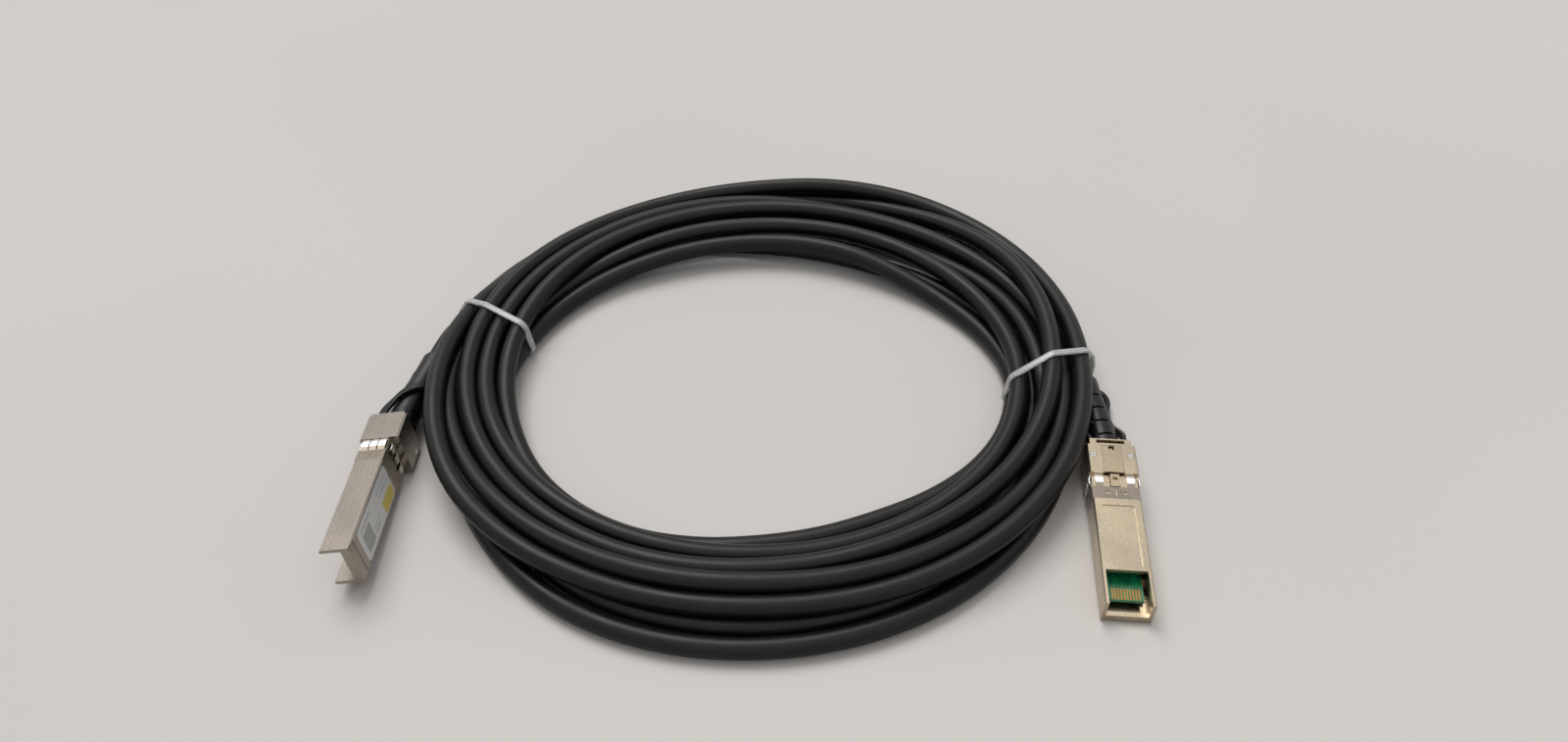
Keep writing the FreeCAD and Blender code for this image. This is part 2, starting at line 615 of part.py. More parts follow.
def housing_screw(side):
    """A headless screw through both castings, slotted at its latch-side end."""
    foot = Vector(side * SCREW_X, SCREW_Y, -HEAD_LABEL_RISE)
    shank = cylinder(SCREW_RADIUS, foot, Z_AXIS, HEAD_TOP + HEAD_LABEL_RISE)
    slot = block((foot.x - 2, foot.x + 2), (SCREW_Y - SCREW_SLOT / 2, SCREW_Y + SCREW_SLOT / 2),
                 (HEAD_TOP - SCREW_SLOT, HEAD_TOP + 1))
    return shank.cut(slot)


def plug_label():
    outline = rounded_rectangle(LABEL_LENGTH, LABEL_WIDTH, LABEL_CORNER, 0)
    label = Part.Face(outline).extrude(Vector(0, 0, LABEL_SHEET))
    label.translate(Vector(0, LABEL_FRONT + LABEL_LENGTH / 2, 0))
    return label


# ---- boot -------------------------------------------------------------------------------------
def boot_radius(distance):
    share = distance / sum(BOOT_RIBS)
    return BOOT_BASE_RADIUS + (BOOT_TIP_RADIUS - BOOT_BASE_RADIUS) * share


def boot_poses(turns):
    """Where each rib of the boot starts, and where the cord leaves its tip."""
    pose = Placement(Vector(0, PLUG_LENGTH + BOOT_SEAT, CORD_Z), Rotation())
    poses = []
    for length, (to_latch, to_side) in zip(BOOT_RIBS, turns):
        bend = Rotation(X_AXIS, to_latch).multiply(Rotation(Z_AXIS, -to_side))
        pose = pose.multiply(Placement(ORIGIN, bend))
        poses.append(pose)
        pose = pose.multiply(Placement(Vector(0, length, 0), Rotation()))
    return poses, pose


def boot(turns):
    """Strain relief in stepped ribs, bent at its slots, which run across its latch and label sides."""
    poses, tip = boot_poses(turns)
    root_start = Vector(0, PLUG_LENGTH - BOOT_ROOT, CORD_Z)
    pieces = [cylinder(BORE_RADIUS, root_start, Y_AXIS, BOOT_ROOT + BOOT_SEAT + BOOT_LAP)]
    slots = []
    start = 0.0
    for index, (length, pose) in enumerate(zip(BOOT_RIBS, poses)):
        radius = boot_radius(start)
        lap = 0
        if index > 0:
            lap = BOOT_LAP
            low = radius - BOOT_SLOT_DEPTH
            for z in ((low, 2 * low), (-2 * low, -low)):
                slots.append(placed(centred(4 * low, (-BOOT_SLOT / 2, BOOT_SLOT / 2), z), pose))
        if index == len(BOOT_RIBS) - 1:
            length -= BOOT_TIP_ROUND
        pieces.append(placed(cylinder(radius, Vector(0, -lap, 0), Y_AXIS, length + lap), pose))
        start += length
    tip_start = tip.multiply(Placement(Vector(0, -BOOT_TIP_ROUND, 0), Rotation()))
    pieces.append(placed(Part.makeCone(BOOT_TIP_RADIUS, CORD_RADIUS + SOFT_GAP, BOOT_TIP_ROUND,
                                       ORIGIN, Y_AXIS), tip_start))
    return pieces[0].multiFuse(pieces[1:]).cut(slots)


def connector_room(turns, pose):
    """The space that a connector's head, boot and strap need, kept free of the coil."""
    poses, tip = boot_poses(turns)
    head = block((-HEAD_WIDTH / 2 - SOFT_GAP, HEAD_WIDTH / 2 + SOFT_GAP),
                 (BODY_LENGTH - SOFT_GAP, PLUG_LENGTH + SOFT_GAP),
                 (-HEAD_LABEL_RISE - SOFT_GAP, HEAD_TOP + SOFT_GAP))
    pieces = [head]
    start = 0.0
    for length, rib_pose in zip(BOOT_RIBS, poses):
        radius = boot_radius(start) + BOOT_ROOM
        piece = block((-radius, radius), (-BOOT_ROOM, length + BOOT_ROOM), (-radius, radius))
        piece.Placement = rib_pose
        pieces.append(piece)
        start += length
    radius = BOOT_TIP_RADIUS + BOOT_ROOM
    beyond = block((-radius, radius), (0, BOOT_ROOM_AHEAD), (-radius, radius))
    beyond.Placement = tip
    pieces.append(beyond)
    return [placed(piece, pose) for piece in pieces]


# ---- pull straps ------------------------------------------------------------------------------
def ribbon(route, thickness, height_axis, height):
    """A band that follows a flat route; its height runs along height_axis, from -height to height."""
    start = route[0]
    heading = route[1] - route[0]
    heading.normalize()
    across = heading.cross(height_axis)
    corners = []
    for side, up in ((-1, -1), (1, -1), (1, 1), (-1, 1)):
        corners.append(start + across * (side * thickness / 2) + height_axis * (up * height))
    outline = Part.makePolygon(corners + corners[:1])
    return smooth_route(route).makePipeShell([outline], True, False)


def strap_a():
    """Strap of the standing connector: it wraps slantwise over and under the boot."""
    section = [Vector(4.7, 0, 9.5), Vector(4.7, 0, 5.2), Vector(6.1, 0, 2.2), Vector(6.3, 0, -2.2),
               Vector(3.6, 0, -5.5), Vector(-1.2, 0, -5.7), Vector(-4.4, 0, -3.2),
               Vector(-5.1, 0, 2.0), Vector(-4.7, 0, 9.5)]
    wrap = ribbon(section, STRAP_THICKNESS, Y_AXIS, 2 * STRAP_REACH)
    slant = [Vector(0, 0, 6.9), Vector(0, 6.8, 6.5), Vector(0, 11.2, 3.9), Vector(0, 15.0, -1.4),
             Vector(0, 18.0, -6.8)]
    strap = wrap.common(ribbon(slant, STRAP_WIDTH, X_AXIS, STRAP_REACH))
    strap.translate(Vector(0, TAB_FRONT + STRAP_SEAT, 0))
    return strap


def strap_b():
    """Strap of the flat connector: it hugs the boot's sides, sinks and closes under the cord."""
    plan = [Vector(4.8, 0, 0), Vector(4.9, 5.0, 0), Vector(5.5, 9.4, 0), Vector(4.8, 13.9, 0),
            Vector(3.5, 18.9, 0), Vector(3.3, 23.9, 0), Vector(4.3, 28.7, 0), Vector(2.6, 32.5, 0),
            Vector(-1.6, 34.1, 0), Vector(-6.2, 33.8, 0), Vector(-8.8, 30.4, 0), Vector(-8.3, 25.4, 0),
            Vector(-6.6, 10.4, 0), Vector(-5.0, 5.8, 0), Vector(-4.8, 0, 0)]
    loop = ribbon(plan, STRAP_THICKNESS, Z_AXIS, STRAP_REACH)
    fall = [Vector(0, 0, 6.7), Vector(0, 6.0, 6.3), Vector(0, 11.4, 2.8), Vector(0, 17.4, -1.6),
            Vector(0, 25.4, -2.5), Vector(0, 40.4, -2.1)]
    strap = loop.common(ribbon(fall, STRAP_WIDTH, X_AXIS, STRAP_REACH))
    strap.translate(Vector(0, TAB_FRONT + STRAP_SEAT, 0))
    return strap


# ---- coil, tails and ties -----------------------------------------------------------------------
def oval(long_half, short_half, end_radius):
    """A closed outline of four tangent arcs, long side on X."""
    flat_radius = (long_half ** 2 + short_half ** 2 - 2 * long_half * end_radius) / (
        2 * (short_half - end_radius))
    end_x = long_half - end_radius
    flat_y = flat_radius - short_half
    split = math.degrees(math.atan2(flat_y, end_x))
    arcs = [Part.makeCircle(end_radius, Vector(end_x, 0, 0), Z_AXIS, -split, split),
            Part.makeCircle(flat_radius, Vector(0, -flat_y, 0), Z_AXIS, split, 180 - split),
            Part.makeCircle(end_radius, Vector(-end_x, 0, 0), Z_AXIS, 180 - split, 180 + split),
            Part.makeCircle(flat_radius, Vector(0, flat_y, 0), Z_AXIS, 180 + split, 360 - split)]
    return Part.Wire(arcs)


def rounded_loop(length, low, high, radius, width):
    """A rounded rectangle in XZ, extruded by width about y = 0."""
    wire = rounded_rectangle(high - low, length, radius, 0)
    solid = Part.Face(wire).extrude(Vector(0, 0, width))
    solid.translate(Vector(0, 0, -width / 2))
    solid.rotate(ORIGIN, X_AXIS, 90)
    solid.translate(Vector(0, 0, (high + low) / 2))
    return solid


def tie_loop(tie, margin):
    """A closed strip round the bundle; a margin makes it thicker and wider all round."""
    centre, angle, length = tie
    top = COIL_HEIGHT + CLEARANCE + TIE_SHEET
    outer = rounded_loop(length + 2 * margin, -margin, top + margin, TIE_CORNER, TIE_WIDTH + 2 * margin)
    inset = TIE_SHEET + margin
    inner = rounded_loop(length - 2 * inset, inset, top - inset, TIE_CORNER - TIE_SHEET,
                         2 * TIE_WIDTH)
    band = outer.cut(inner)
    frame = Placement(COIL_CENTRE + centre, Rotation(Z_AXIS, angle))
    return placed(band, frame)


def cable_coil(rooms):
    """The coil's outer shape: a disc with an oval hole, with room for the ties and connectors."""
    centre = COIL_CENTRE + COIL_OUTER_SHIFT
    bevel = COIL_EDGE
    radius = COIL_OUTER_RADIUS
    rim = [Vector(0, 0, 0), Vector(radius - bevel, 0, 0), Vector(radius, 0, bevel),
           Vector(radius, 0, COIL_HEIGHT - bevel), Vector(radius - bevel, 0, COIL_HEIGHT),
           Vector(0, 0, COIL_HEIGHT)]
    disc = face_of(rim).revolve(ORIGIN, Z_AXIS, 360)
    disc.translate(centre)
    hole = Part.Face(oval(COIL_INNER_LONG, COIL_INNER_SHORT, COIL_INNER_END_RADIUS))
    hole = hole.extrude(Vector(0, 0, COIL_HEIGHT + 2))
    hole.translate(COIL_CENTRE - Z_AXIS)
    return disc.cut([hole] + rooms)


def tail(pose):
    """The cord from a boot's tip, straight into the coil."""
    return placed(cylinder(CORD_RADIUS, ORIGIN, Y_AXIS, TAIL_LENGTH), pose)


# ---- assembly ---------------------------------------------------------------------------------
def plug_pieces(turns, strap):
    return {
        "lower_shell": lower_shell(),
        "upper_shell": upper_shell(),
        "emi_collar": emi_collar(),
        "paddle_card": paddle_card(),
        "contact_pads": contact_pads(),
        "memory_chip": memory_chip(),
        "wires": wires(),
        "inner_mould": inner_mould(),
        "crimp_ring": crimp_ring(),
        "latch_cover": latch_cover(),
        "latch_lever": latch_lever(),
        "lever_pin": lever_pin(),
        "pull_slider": pull_slider(),
        "pull_strap": strap,
        "screw_left": housing_screw(-1),
        "screw_right": housing_screw(1),
        "boot": boot(turns),
    }


def plug_a_pose():
    """Standing on its narrow side, label face towards the coil, nose raised, leaning back."""
    nose = Rotation(X_AXIS, -PLUG_A_NOSE_UP)
    on_side = Rotation(Y_AXIS, -90 - PLUG_A_LEAN)
    turn = Rotation(Z_AXIS, -PLUG_A_TURN).multiply(nose).multiply(on_side)
    return Placement(COIL_CENTRE + PLUG_A_REAR, turn).multiply(TO_REAR)


def plug_b_pose():
    """Lying on its label side: the front lip and the head's front edge touch the table."""
    tilt = math.degrees(math.atan2(HEAD_LABEL_RISE, BODY_LENGTH))
    turn = Rotation(Z_AXIS, -PLUG_B_TURN).multiply(Rotation(X_AXIS, tilt))
    return Placement(COIL_CENTRE + PLUG_B_REAR, turn).multiply(TO_REAR)


def placed(shape, pose):
    moved = shape.copy()
    moved.Placement = pose.multiply(moved.Placement)
    return moved


def lowest(shapes):
    return min(shape.optimalBoundingBox().ZMin for shape in shapes)


def main():
    os.makedirs("parts", exist_ok=True)
    nodes = {}
    rooms = [tie_loop(LEFT_TIE, SOFT_GAP), tie_loop(RIGHT_TIE, SOFT_GAP)]
    plug_a = plug_pieces(BOOT_A_TURNS, strap_a())
    plug_a["label"] = plug_label()
    plug_b = plug_pieces(BOOT_B_TURNS, strap_b())
    for name, pieces, pose, turns in (("plug_a", plug_a, plug_a_pose(), BOOT_A_TURNS),
                                      ("plug_b", plug_b, plug_b_pose(), BOOT_B_TURNS)):
        castings = [placed(pieces[key], pose) for key in ("lower_shell", "upper_shell")]
        pose.Base = pose.Base - Vector(0, 0, lowest(castings))
        for key, shape in pieces.items():
            nodes[name + "_" + key] = placed(shape, pose)
        rooms += connector_room(turns, pose)
        exit_pose = pose.multiply(boot_poses(turns)[1])
        nodes["cable_tail" + name[-2:]] = tail(exit_pose)
        print(name, "cord leaves at", exit_pose.Base, "heading", exit_pose.Rotation.multVec(Y_AXIS))
    nodes["cable_coil"] = cable_coil(rooms)
    nodes["tie_band_left"] = tie_loop(LEFT_TIE, 0)
    nodes["tie_band_right"] = tie_loop(RIGHT_TIE, 0)
    for name, shape in nodes.items():
        shape.exportStep("parts/" + name + ".step")


main()
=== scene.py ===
"""Direct attach copper cable: a coil of black twinax with a pluggable connector at each end.

Lengths are in millimetres and angles in degrees, and MM brings a length to metres.
"""

import json
import math

import bmesh
import bpy
import numpy as np
from mathutils import Matrix, Vector


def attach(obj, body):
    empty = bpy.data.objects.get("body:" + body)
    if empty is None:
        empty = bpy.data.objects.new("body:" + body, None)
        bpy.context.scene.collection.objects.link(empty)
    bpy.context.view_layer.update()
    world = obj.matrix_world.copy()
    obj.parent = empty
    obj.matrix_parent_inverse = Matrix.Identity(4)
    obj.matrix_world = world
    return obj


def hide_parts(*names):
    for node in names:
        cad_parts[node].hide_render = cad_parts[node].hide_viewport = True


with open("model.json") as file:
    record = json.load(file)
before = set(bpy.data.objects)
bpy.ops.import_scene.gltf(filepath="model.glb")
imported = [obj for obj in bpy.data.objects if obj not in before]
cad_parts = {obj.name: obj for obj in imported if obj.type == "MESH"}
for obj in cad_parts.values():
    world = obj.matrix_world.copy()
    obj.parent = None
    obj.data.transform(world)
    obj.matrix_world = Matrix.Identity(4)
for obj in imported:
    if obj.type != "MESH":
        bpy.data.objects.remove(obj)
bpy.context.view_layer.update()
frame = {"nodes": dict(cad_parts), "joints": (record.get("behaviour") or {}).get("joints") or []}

NODES = frame["nodes"]
MM = 0.001

# ---- the cord and its coil -------------------------------------------------------------------
COIL_CENTRE = Vector((3.85, 29.79, 0.0))
CORD_DIAMETER = 6.1
STATION = 15             # between two points of a turn
STRAND_GAP = 6.12        # between the centres of two strands that touch
LOW = CORD_DIAMETER / 2  # height of a strand's centre on the floor
TIE_REST = 3.9           # the same where a tie runs under it
TIE_STATIONS = (15, 180)
STRAIGHT_OUT = 9.0       # from a boot, before the cord bends

# Where the cord leaves each boot, and the way that it points there.
EXIT_A = Vector((-102.1111, 37.5583, 8.7466))
LEAVE_A = Vector((0.21028, 0.97634, 0.05048))
EXIT_B = Vector((107.6021, 22.5907, 7.1261))
LEAVE_B = Vector((-0.03888, 0.99780, 0.05369))

# ---- how the strands settle against each other -----------------------------------------------
SETTLE_STEPS = 900
STIFFNESS = 0.12         # evens out the shifts of neighbouring points
HOLD_AT_FIRST = 0.05     # draws a point back to its planned place, and fades over the steps
HOLD = 0.02              # does the same to the end
STRAND_PUSH = 0.25       # share of an overlap by which each strand gives way
BOOT_PUSH = 0.5          # share of an overlap with a boot by which the strand gives way
LEAST_GAP = 0.01         # stands in for a gap of nothing, which can't be divided by

# ---- ties: (middle, from the coil's centre, and heading) --------------------------------------
TIE_RIGHT = ((93.7, -5.8), 16.3)
TIE_LEFT = ((-89.3, 25.8), 147.1)
TIE_REACH = 25           # a tie holds the strands that are within this of its middle
TIE_WIDTH = 2.0
TIE_SHEET = 0.9
TIE_SLACK = 0.05
TIE_EDGE = 0.2
# The right tie stands off past its last strand: (place along the tie, height).
TIE_STANDS_OFF = ((13.4, 0.45), (14.35, 1.5), (14.35, 9.5), (13.4, 13.6))

# ---- connectors ------------------------------------------------------------------------------
PIN_BACK = 49.0          # from the nose to the latch's pin
PIN_UP = 8.2             # from the label side to the latch's pin
FINGERS_FROM = 40.6      # from the nose to the spring band's fingers, which carry a painted highlight

# ---- camera ----------------------------------------------------------------------------------
CAMERA_PLACE = (11.77, -248.63, 268.67)
CAMERA_TILT = 46.81      # up from straight down
CAMERA_ROLL = -1.14
LENS = 27
SENSOR = 36
SEEN_FROM = 10
SEEN_TO = 50000


def add_camera():
    data = bpy.data.cameras.new("camera")
    data.lens = LENS
    data.sensor_width = SENSOR
    data.clip_start = MM * SEEN_FROM
    data.clip_end = MM * SEEN_TO
    camera = bpy.data.objects.new("camera", data)
    bpy.context.scene.collection.objects.link(camera)
    camera.matrix_world = (
        Matrix.Translation(MM * Vector(CAMERA_PLACE))
        @ Matrix.Rotation(math.radians(CAMERA_TILT), 4, "X")
        @ Matrix.Rotation(math.radians(CAMERA_ROLL), 4, "Z")
    )
    bpy.context.scene.camera = camera


add_camera()


# ---- the cord --------------------------------------------------------------------------------
# Each row is one turn: (place along the turn, distance from the middle, height of the centre).
# A turn starts at the left, goes round the back to the right, and comes round the front.
TURNS = (
    ((15, 105.6, 5.0), (30, 106.8, LOW), (45, 104.6, LOW), (60, 103.3, LOW), (90, 102.9, LOW),
     (105, 101.9, LOW), (120, 101.4, 3.6), (135, 100.4, 8.3), (150, 99.2, 13), (165, 96.4, 13.9),
     (180, 93.3, 14.2), (195, 91.3, 12.6), (210, 88.4, 10.8), (240, 82.4, 10), (270, 80.3, 9.2),
     (300, 84.1, 9.3), (330, 88.9, 9.7)),
    ((0, 94.6, 9.7), (15, 96.0, 10.2), (30, 97.8, 9.3), (45, 98, 8.8), (60, 98.7, 7.6),
     (75, 98.8, 7.9), (90, 99, 8.6), (105, 102.3, 9.1), (120, 107.2, 7), (135, 106.5, 8),
     (150, 106.2, 8.9), (165, 104.2, 10.8), (180, 101.7, 12.9), (195, 101.4, 13.2), (210, 101.2, 12.2),
     (240, 96.4, 9.2), (270, 91.7, 7.8), (300, 94.8, 8.6), (315, 98.9, 9.8), (330, 102.7, 11.4),
     (345, 102.2, 13.2)),
    ((0, 101, 12.9), (15, 101.9, 8.8), (30, 101.6, 4.9), (45, 97.6, LOW), (60, 94.4, LOW),
     (75, 91, LOW), (90, 89.4, LOW), (120, 90.8, LOW), (150, 95.5, LOW), (180, 96.7, LOW),
     (210, 99.8, LOW), (240, 101.9, LOW), (270, 102.2, LOW), (300, 103.6, LOW), (330, 99.6, LOW)),
    ((0, 97.5, LOW), (30, 92.6, LOW), (45, 87.8, LOW), (60, 82.5, LOW), (75, 76.6, LOW),
     (90, 71.8, LOW), (120, 70.8, LOW), (135, 74.6, LOW), (150, 79.6, LOW), (165, 85.2, LOW),
     (180, 90.5, LOW), (210, 85.2, LOW), (240, 81, LOW), (270, 79.5, LOW), (300, 81.2, LOW),
     (330, 86.6, LOW)),
    ((0, 85.3, LOW), (30, 79.5, LOW), (45, 75.8, 4.6), (60, 70.6, 7), (90, 68, 7.9), (120, 68.4, 8.6),
     (135, 69.4, 6), (150, 73.5, 3.4), (165, 79.2, LOW), (180, 84.4, LOW), (195, 82.6, LOW),
     (210, 79, 3.4), (225, 73.2, LOW), (240, 67.9, LOW), (270, 67.3, LOW), (285, 70.6, LOW),
     (300, 74.5, LOW), (330, 80.3, 3.4)),
    ((0, 82.9, 8.6), (30, 84.4, 9.5), (60, 86.9, 9.1), (90, 87.3, 9.1), (120, 88.6, 9.1),
     (135, 91.5, 9.1), (150, 94.4, 8.9), (165, 96.5, 8.6), (180, 96.7, 9.3), (210, 95.5, 9.5),
     (240, 90.6, 10.9), (270, 85.9, 10.9), (300, 89.7, 11.8), (330, 95.3, 9.9)),
    ((0, 100.2, 8.4), (15, 100, 4.6), (30, 98.7, LOW), (45, 93.4, LOW), (60, 88.2, LOW),
     (90, 83.1, LOW), (120, 84.4, LOW), (135, 86.8, 3.8), (150, 89.2, 6.2), (165, 89.8, 8.8),
     (180, 89.3, 9.9), (195, 90.8, 6.4), (210, 92.5, 3.6), (240, 95.2, LOW), (270, 95.4, LOW),
     (300, 96.4, LOW), (330, 92.9, LOW)),
    ((0, 91.4, LOW), (30, 86.6, 3.9), (45, 82.3, 7.5), (60, 79, 8.8), (90, 76.9, 9), (120, 78.6, 9),
     (150, 80.7, 8.7), (180, 83.5, 9.1), (210, 82, 8.7), (240, 75.6, 6), (270, 73, 5.9),
     (300, 77.5, 8.4), (330, 83, 8.9)),
    ((0, 88.9, 9.4), (15, 91, 10), (30, 92.2, 10.2), (60, 92.8, 9.1), (75, 93, 8.4), (90, 93.2, 7.8),
     (105, 95.6, 5), (120, 99, 3.2), (135, 102.4, LOW), (150, 103.3, 3.2), (165, 103.6, 5.2),
     (180, 103.8, 7.4)),
)
# The boots beside the coil: (place along the turn, distance from the middle, height, radius).
BOOTS_BESIDE = ((0, 106.8, 8.4, 4.1), (345, 112.6, 7.8, 4.6), (195, 107.9, 5.9, 4.6))


def overlap(gap, room):
    """How far each gap falls short of the room that two round things need, as a share of itself."""
    far = np.hypot(gap[:, 0], gap[:, 1])
    return (np.clip(room - far, 0, None) / np.maximum(far, LEAST_GAP))[:, None]


def part_strands(points, first, second, midway):
    """Moves pairs of strands that overlap apart, at their points or midway to the next ones."""
    at = 0.5 * (points[:-1] + points[1:]) if midway else points
    gap = at[first] - at[second]
    push = STRAND_PUSH * gap * overlap(gap, STRAND_GAP)
    for shift in (0, 1) if midway else (0,):
        np.add.at(points, first + shift, push)
        np.add.at(points, second + shift, -push)


def settle(points, stations):
    """Lets the planned (distance, height) points find their places beside and on each other."""
    plan = points.copy()
    last = len(points) - 1
    rest = np.where(np.isin(stations % 360, TIE_STATIONS), TIE_REST, LOW)
    first, second = np.triu_indices(len(points), 1)
    same = (stations[first] - stations[second]) % 360 == 0
    first, second = first[same], second[same]
    inner = (first < last) & (second < last)
    boots = [
        (np.flatnonzero(stations % 360 == place), np.array((reach, height)), radius)
        for place, reach, height, radius in BOOTS_BESIDE
    ]
    for step in range(SETTLE_STEPS):
        moved = points - plan
        bend = np.zeros_like(points)
        bend[1:-1] = moved[:-2] + moved[2:] - 2 * moved[1:-1]
        hold = HOLD_AT_FIRST * (1 - step / SETTLE_STEPS) + HOLD
        points += STIFFNESS * bend - hold * moved
        part_strands(points, first[inner], second[inner], midway=True)
        part_strands(points, first, second, midway=False)
        for beside, middle, radius in boots:
            gap = points[beside] - middle
            points[beside] += BOOT_PUSH * gap * overlap(gap, radius + CORD_DIAMETER / 2)
        points[:, 1] = np.maximum(points[:, 1], rest)
        points[0], points[-1] = plan[0], plan[-1]
    return points


def cord_route():
    """The cord's own points, from the left connector's boot to the right one's."""
    rows = [
        (360 * turn + place, reach, height)
        for turn, row in enumerate(TURNS)
        for place, reach, height in row
    ]
    places, reaches, heights = (np.array(column, float) for column in zip(*rows))
    stations = np.arange(places[0], places[-1] + 1, STATION)
    points = np.column_stack((
        np.interp(stations, places, reaches),
        np.interp(stations, places, heights),
    ))
    points[1:-1] = (points[:-2] + 4 * points[1:-1] + points[2:]) / 6
    points = settle(points, stations)
    # The smooth line passes inside its points, so they stand this much further out.
    stand_out = 1 / (0.75 + 0.25 * math.cos(math.radians(STATION)))
    route = [EXIT_A, EXIT_A + STRAIGHT_OUT * LEAVE_A]
    for place, (reach, height) in zip(stations[:-1], points[:-1]):
        turn = math.radians(180 - place)
        reach = reach * stand_out
        route.append(COIL_CENTRE + Vector((reach * math.cos(turn), reach * math.sin(turn), height)))
    return route + [EXIT_B + STRAIGHT_OUT * LEAVE_B, EXIT_B]


def add_cord():
    """The cord on one smooth spline, and the points that its centre line passes through."""
    route = cord_route()
    data = bpy.data.curves.new("cord", "CURVE")
    data.dimensions = "3D"
    line = data.splines.new("NURBS")
    line.points.add(len(route) - 1)
    for point, place in zip(line.points, route):
        point.co = (*(MM * place), 1)
    line.order_u = 3
    line.use_endpoint_u = True
    line.resolution_u = 6
    data.bevel_resolution = 6
    piece = bpy.data.objects.new("cord", data)
    bpy.context.scene.collection.objects.link(piece)
    bpy.context.view_layer.update()
    thin = bpy.data.meshes.new_from_object(piece)
    centre_line = [vertex.co / MM for vertex in thin.vertices]
    bpy.data.meshes.remove(thin)
    data.bevel_depth = MM * CORD_DIAMETER / 2
    return piece, centre_line


cord, cord_line = add_cord()


# ---- ties ------------------------------------------------------------------------------------
def crossings(centre, along, across):
    """Where strands pass through the upright plane of a tie: (place along the tie, height)."""
    found = []
    for a, b in zip(cord_line, cord_line[1:]):
        before, after = (a - centre).dot(across), (b - centre).dot(across)
        if before * after <= 0 and abs((a - centre).dot(along)) < TIE_REACH and before != after:
            at = a.lerp(b, before / (before - after))
            found.append(((at - centre).dot(along), at.z))
    return found


def hull(points):
    """The outline of a band pulled tight round the points."""
    points = sorted(points)

    def side(run):
        edge = []
        for p in run:
            while len(edge) > 1 and (
                (edge[-1][0] - edge[-2][0]) * (p[1] - edge[-2][1])
                - (edge[-1][1] - edge[-2][1]) * (p[0] - edge[-2][0])
            ) <= 0:
                edge.pop()
            edge.append(p)
        return edge[:-1]

    return side(points) + side(reversed(points))


def add_tie(name, node, place, stands_off, finish):
    """A clear band round the strands, drawn as a strip and given its thickness."""
    middle, heading = place
    centre = COIL_CENTRE + Vector((*middle, 0))
    along = Vector((math.cos(math.radians(heading)), math.sin(math.radians(heading)), 0))
    across = Vector((-along.y, along.x, 0))
    room = CORD_DIAMETER / 2 + TIE_SHEET / 2 + TIE_SLACK
    ring = []
    for u, z in crossings(centre, along, across):
        for turn in range(0, 360, 15):
            angle = math.radians(turn)
            ring.append((u + room * math.cos(angle), max(TIE_SHEET / 2, z + room * math.sin(angle))))

    mesh = bmesh.new()
    first = []
    for u, z in hull(ring + list(stands_off)):
        corner = centre + u * along + Vector((0, 0, z)) - TIE_WIDTH / 2 * across
        first.append(mesh.verts.new(MM * corner))
    edges = [mesh.edges.new(pair) for pair in zip(first, first[1:] + first[:1])]
    drawn = bmesh.ops.extrude_edge_only(mesh, edges=edges)["geom"]
    second = [part for part in drawn if isinstance(part, bmesh.types.BMVert)]
    bmesh.ops.translate(mesh, verts=second, vec=MM * TIE_WIDTH * across)
    bmesh.ops.recalc_face_normals(mesh, faces=mesh.faces)
    for face in mesh.faces:
        face.smooth = True
    data = bpy.data.meshes.new(name)
    mesh.to_mesh(data)
    mesh.free()
    data.materials.append(finish)
    tie = bpy.data.objects.new(name, data)
    bpy.context.scene.collection.objects.link(tie)
    wall = tie.modifiers.new("sheet", "SOLIDIFY")
    wall.thickness = MM * TIE_SHEET
    wall.offset = 0
    edge = tie.modifiers.new("edge", "BEVEL")
    edge.width = MM * TIE_EDGE
    edge.segments = 3
    edge.limit_method = "ANGLE"
    edge.angle_limit = math.radians(50)
    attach(tie, "cable")
    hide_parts(node)


# ---- finishes --------------------------------------------------------------------------------
class Socket:
    """One value in a finish. An expression on it adds the nodes that work it out."""

    def __init__(self, nodes, socket):
        self.nodes = nodes
        self.socket = socket

    def join(self, operation, *values):
        return self.nodes.node("ShaderNodeMath", {"operation": operation}, dict(enumerate(values)))

    def __add__(self, other):
        return self.join("ADD", self, other)

    def __radd__(self, other):
        return self.join("ADD", other, self)

    def __mul__(self, other):
        return self.join("MULTIPLY", self, other)

    def __rmul__(self, other):
        return self.join("MULTIPLY", other, self)

    def above(self, edge):
        return self.join("GREATER_THAN", self, edge)

    def below(self, edge):
        return self.join("LESS_THAN", self, edge)

    def or_more(self, other):
        return self.join("MAXIMUM", self, other)


class Nodes:
    """The nodes of one finish, or of the sky."""

    def __init__(self, tree):
        self.tree = tree
        tree.nodes.clear()

    def plug_in(self, socket, value):
        if isinstance(value, Socket):
            self.tree.links.new(value.socket, socket)
        elif hasattr(socket.default_value, "__len__") and len(socket.default_value) > len(value):
            socket.default_value = (*value, 1)
        else:
            socket.default_value = value

    def node(self, kind, settings=None, inputs=None, out=0):
        """Adds a node with its settings, then its sockets' values or links."""
        made = self.tree.nodes.new(kind)
        for name, value in (settings or {}).items():
            setattr(made, name, value)
        for name, value in (inputs or {}).items():
            self.plug_in(made.inputs[name], value)
        return Socket(self, made.outputs[out]) if made.outputs else None

    def spread(self, value, low, high, to_low=0.0, to_high=1.0):
        """Brings the range from low to high to the range from to_low to to_high."""
        return self.node("ShaderNodeMapRange", None, {
            0: value, 1: low, 2: high, 3: to_low, 4: to_high,
        })


